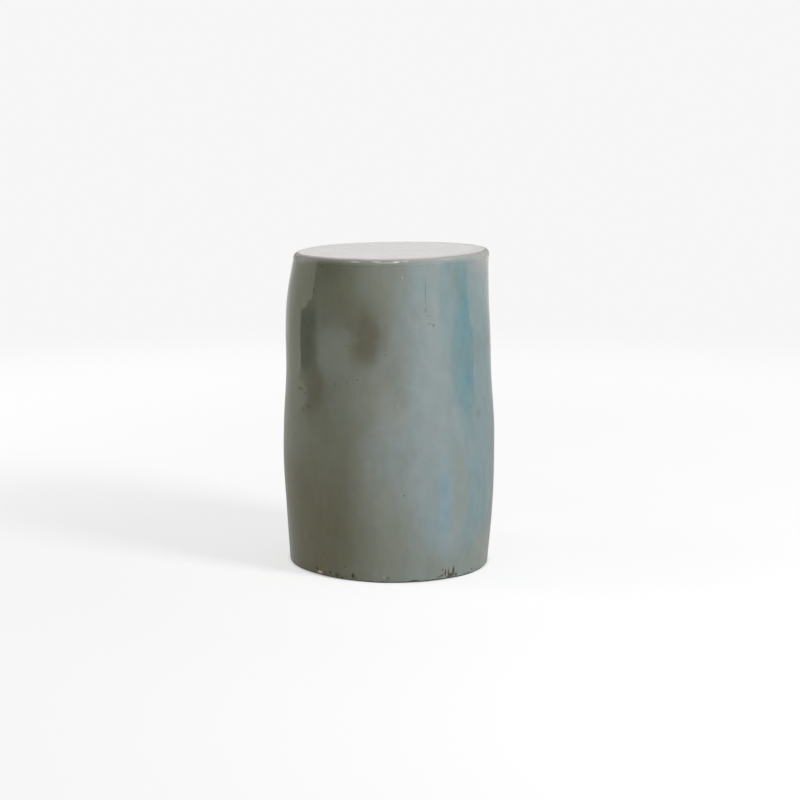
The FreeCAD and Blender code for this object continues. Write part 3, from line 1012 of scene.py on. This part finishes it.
place_piece(shape(glaze_coat(), 0.0009, 24.0, glaze), "glaze", "wall_glaze", "seat_glaze")
lower = clay_course("lower_course", FOOT_HEIGHT, BELLY_HEIGHT)
place_piece(shape(lower, 0.0008, 30.0, clay), "stoneware", "lower_wall")
upper = clay_course("upper_course", BELLY_HEIGHT, NECK_HEIGHT)
place_piece(shape(upper, 0.0008, 30.0, clay), "stoneware", "upper_wall")
place_piece(shape(seat_board(), 0.0010, 26.0, clay), "stoneware", "seat_slab")
place_piece(shape(belly_coil(), 0.0020, 40.0, clay), "stoneware", "joint_coil")
place_piece(shape(corner_coil(), 0.0020, 40.0, clay), "stoneware", "seat_coil")
place_piece(shape(foot_flange(), 0.0010, 40.0, clay), "stoneware", "foot_ring")
for number in range(1, 5):
    node = f"floor_pad_{number}"
    place_piece(shape(felt_pad(node), 0.0, 30.0, felt), "felt", node)

# Stage

# How bright each part of the studio is: behind, at the sides, in front, above, the floor in a
# reflection, the even fill, and the strip that draws the highlight along the rim.
BACKDROP = 0.925
STUDIO_SIDES = 0.33
STUDIO_FRONT = 0.25
CEILING = 0.8
FLOOR_SIDES = 0.40
FILL = 0.47
HIGHLIGHT = 6.0
FLOOR_REACH = 40.0
CAMERA_PLACE = (0.0, -2.819, 0.718)
CAMERA_PITCH, CAMERA_YAW = math.radians(9.68), math.radians(0.3325)


def grey(level):
    """Grey of a linear level, with alpha."""
    return (level, level, level, 1.0)


def stage_light(nodes, direction):
    """How bright the studio is in a direction: white behind, dim at the sides and in front."""
    parts = nodes.add("ShaderNodeSeparateXYZ", {"Vector": direction}).outputs
    side = nodes.math("ABSOLUTE", parts[0])
    away = nodes.math("MULTIPLY", nodes.math("ARCTAN2", side, parts[1]), 180 / math.pi)
    behind = nodes.ramp(away, 8.0, 46.0, BACKDROP, STUDIO_SIDES, smooth=False)
    return nodes.ramp(away, 50.0, 75.0, behind, STUDIO_FRONT)


def floor():
    """Pale floor that keeps the stool's shadow and melts into the white backdrop; its seen glow
    holds painted light round the stool and a painted contact shade at the foot.
    """
    mesh = bpy.data.meshes.new("studio_floor")
    signs = ((-1, -1), (1, -1), (1, 1), (-1, 1))
    corners = [(FLOOR_REACH * x, FLOOR_REACH * y, 0) for x, y in signs]
    mesh.from_pydata(corners, [], [(0, 1, 2, 3)])
    made = new_object("studio_floor", mesh)
    material, nodes = new_material("studio_floor")
    place = nodes.add("ShaderNodeTexCoord").outputs["Object"]
    distance = nodes.vector("LENGTH", place)
    path = nodes.add("ShaderNodeLightPath").outputs
    across, deep = nodes.add("ShaderNodeSeparateXYZ", {"Vector": place}).outputs[:2]
    glow_near = nodes.ramp(deep, -0.2, 1.0, 0.995, 1.15)
    glow_near = nodes.math("ADD", glow_near, nodes.ramp(across, -0.7, 0.2, 0.03, 0.0))
    # Painted light: the seen glow is raised close round the stool to lift the shade the stool
    # casts there.
    glow_near = nodes.math("ADD", glow_near, nodes.ramp(distance, 0.16, 0.50, 0.05, 0.0))
    seen_glow = nodes.ramp(distance, 1.0, 2.6, glow_near, BACKDROP)
    # Painted contact shade: the seen glow is darkened by occlusion where the floor meets the foot.
    contact_shade = nodes.add("ShaderNodeAmbientOcclusion", {"Distance": 0.005}, samples=8)
    contact_shade = nodes.ramp(contact_shade.outputs["AO"], 0.0, 1.0, 0.5, 1.0, smooth=False)
    seen_glow = nodes.math("MULTIPLY", seen_glow, contact_shade)
    far = nodes.ramp(distance, 1.0, 3.0)
    mirrored_glow = nodes.mix(far, grey(FLOOR_SIDES), stage_light(nodes, place))
    glow_colour = nodes.mix(path["Is Glossy Ray"], seen_glow, mirrored_glow)
    glow = nodes.add("ShaderNodeEmission", {"Color": glow_colour})
    lit = nodes.add("ShaderNodeBsdfDiffuse", {"Color": grey(0.93)})
    seen_share = nodes.ramp(distance, 0.9, 2.4, 0.58, 1.0)
    share = nodes.math("MAXIMUM", path["Is Camera Ray"], path["Is Transmission Ray"])
    share = nodes.math("MULTIPLY", share, seen_share)
    share = nodes.math("MAXIMUM", share, path["Is Glossy Ray"])
    mixed = nodes.add("ShaderNodeMixShader", {0: share, 1: lit.outputs[0], 2: glow.outputs[0]})
    nodes.add("ShaderNodeOutputMaterial", {"Surface": mixed.outputs[0]})
    mesh.materials.append(material)


def world():
    """White backdrop for the camera, a studio with a dim front in reflections, and even fill."""
    made = bpy.data.worlds.new("studio")
    bpy.context.scene.world = made
    made.use_nodes = True
    made.node_tree.nodes.clear()
    nodes = Nodes(made.node_tree)
    direction = nodes.add("ShaderNodeTexCoord").outputs["Generated"]
    path = nodes.add("ShaderNodeLightPath").outputs
    parts = nodes.add("ShaderNodeSeparateXYZ", {"Vector": direction}).outputs
    ceiling = nodes.ramp(parts[2], 0.45, 0.85, 0.0, CEILING)
    studio = nodes.math("MAXIMUM", stage_light(nodes, direction), ceiling)
    sideways = nodes.math("ARCTAN2", parts[0], nodes.math("MULTIPLY", parts[1], -1.0))
    in_front = nodes.ramp(nodes.math("ABSOLUTE", sideways), 0.8, 1.1, 1.0, 0.0)
    strip = nodes.ramp(parts[2], 0.42, 0.50)
    strip = nodes.math("MULTIPLY", strip, nodes.ramp(parts[2], 0.70, 0.78, 1.0, 0.0))
    strip = nodes.math("MULTIPLY", nodes.math("MULTIPLY", strip, in_front), HIGHLIGHT)
    studio = nodes.math("ADD", studio, strip)
    strength = nodes.mix(path["Is Glossy Ray"], grey(FILL), studio)
    seen = nodes.math("MAXIMUM", path["Is Camera Ray"], path["Is Transmission Ray"])
    strength = nodes.mix(seen, strength, grey(BACKDROP))
    shader = nodes.add("ShaderNodeBackground", {"Color": strength})
    nodes.add("ShaderNodeOutputWorld", {"Surface": shader.outputs[0]})


def soft_lamp(name, place, width, height, watts):
    """Soft box at a place, turned to the middle of the stool."""
    lamp = bpy.data.lights.new(name, "AREA")
    lamp.shape, lamp.size, lamp.size_y, lamp.energy = "RECTANGLE", width, height, watts
    made = bpy.data.objects.new(name, lamp)
    bpy.context.scene.collection.objects.link(made)
    made.location = place
    away = Vector(place) - Vector((0, 0, 0.25))
    made.rotation_euler = away.to_track_quat("Z", "Y").to_euler()
    made.visible_glossy = False


def camera():
    """Camera at the photograph's place: a long lens, a little above the seat."""
    data = bpy.data.cameras.new("camera")
    data.sensor_width, data.lens = 36.0, 88.0
    made = bpy.data.objects.new("camera", data)
    bpy.context.scene.collection.objects.link(made)
    made.location = CAMERA_PLACE
    level = math.cos(CAMERA_PITCH)
    across, deep = math.sin(CAMERA_YAW) * level, math.cos(CAMERA_YAW) * level
    ahead = Vector((across, deep, -math.sin(CAMERA_PITCH)))
    made.rotation_euler = ahead.to_track_quat("-Z", "Y").to_euler()
    bpy.context.scene.camera = made


floor()
world()
soft_lamp("key_softbox", (1.38, -1.00, 1.45), 0.50, 0.50, 30.0)
soft_lamp("left_softbox", (-2.49, 0.22, 1.30), 1.0, 1.0, 13.0)
camera()
bpy.context.scene.view_settings.view_transform = "Standard"
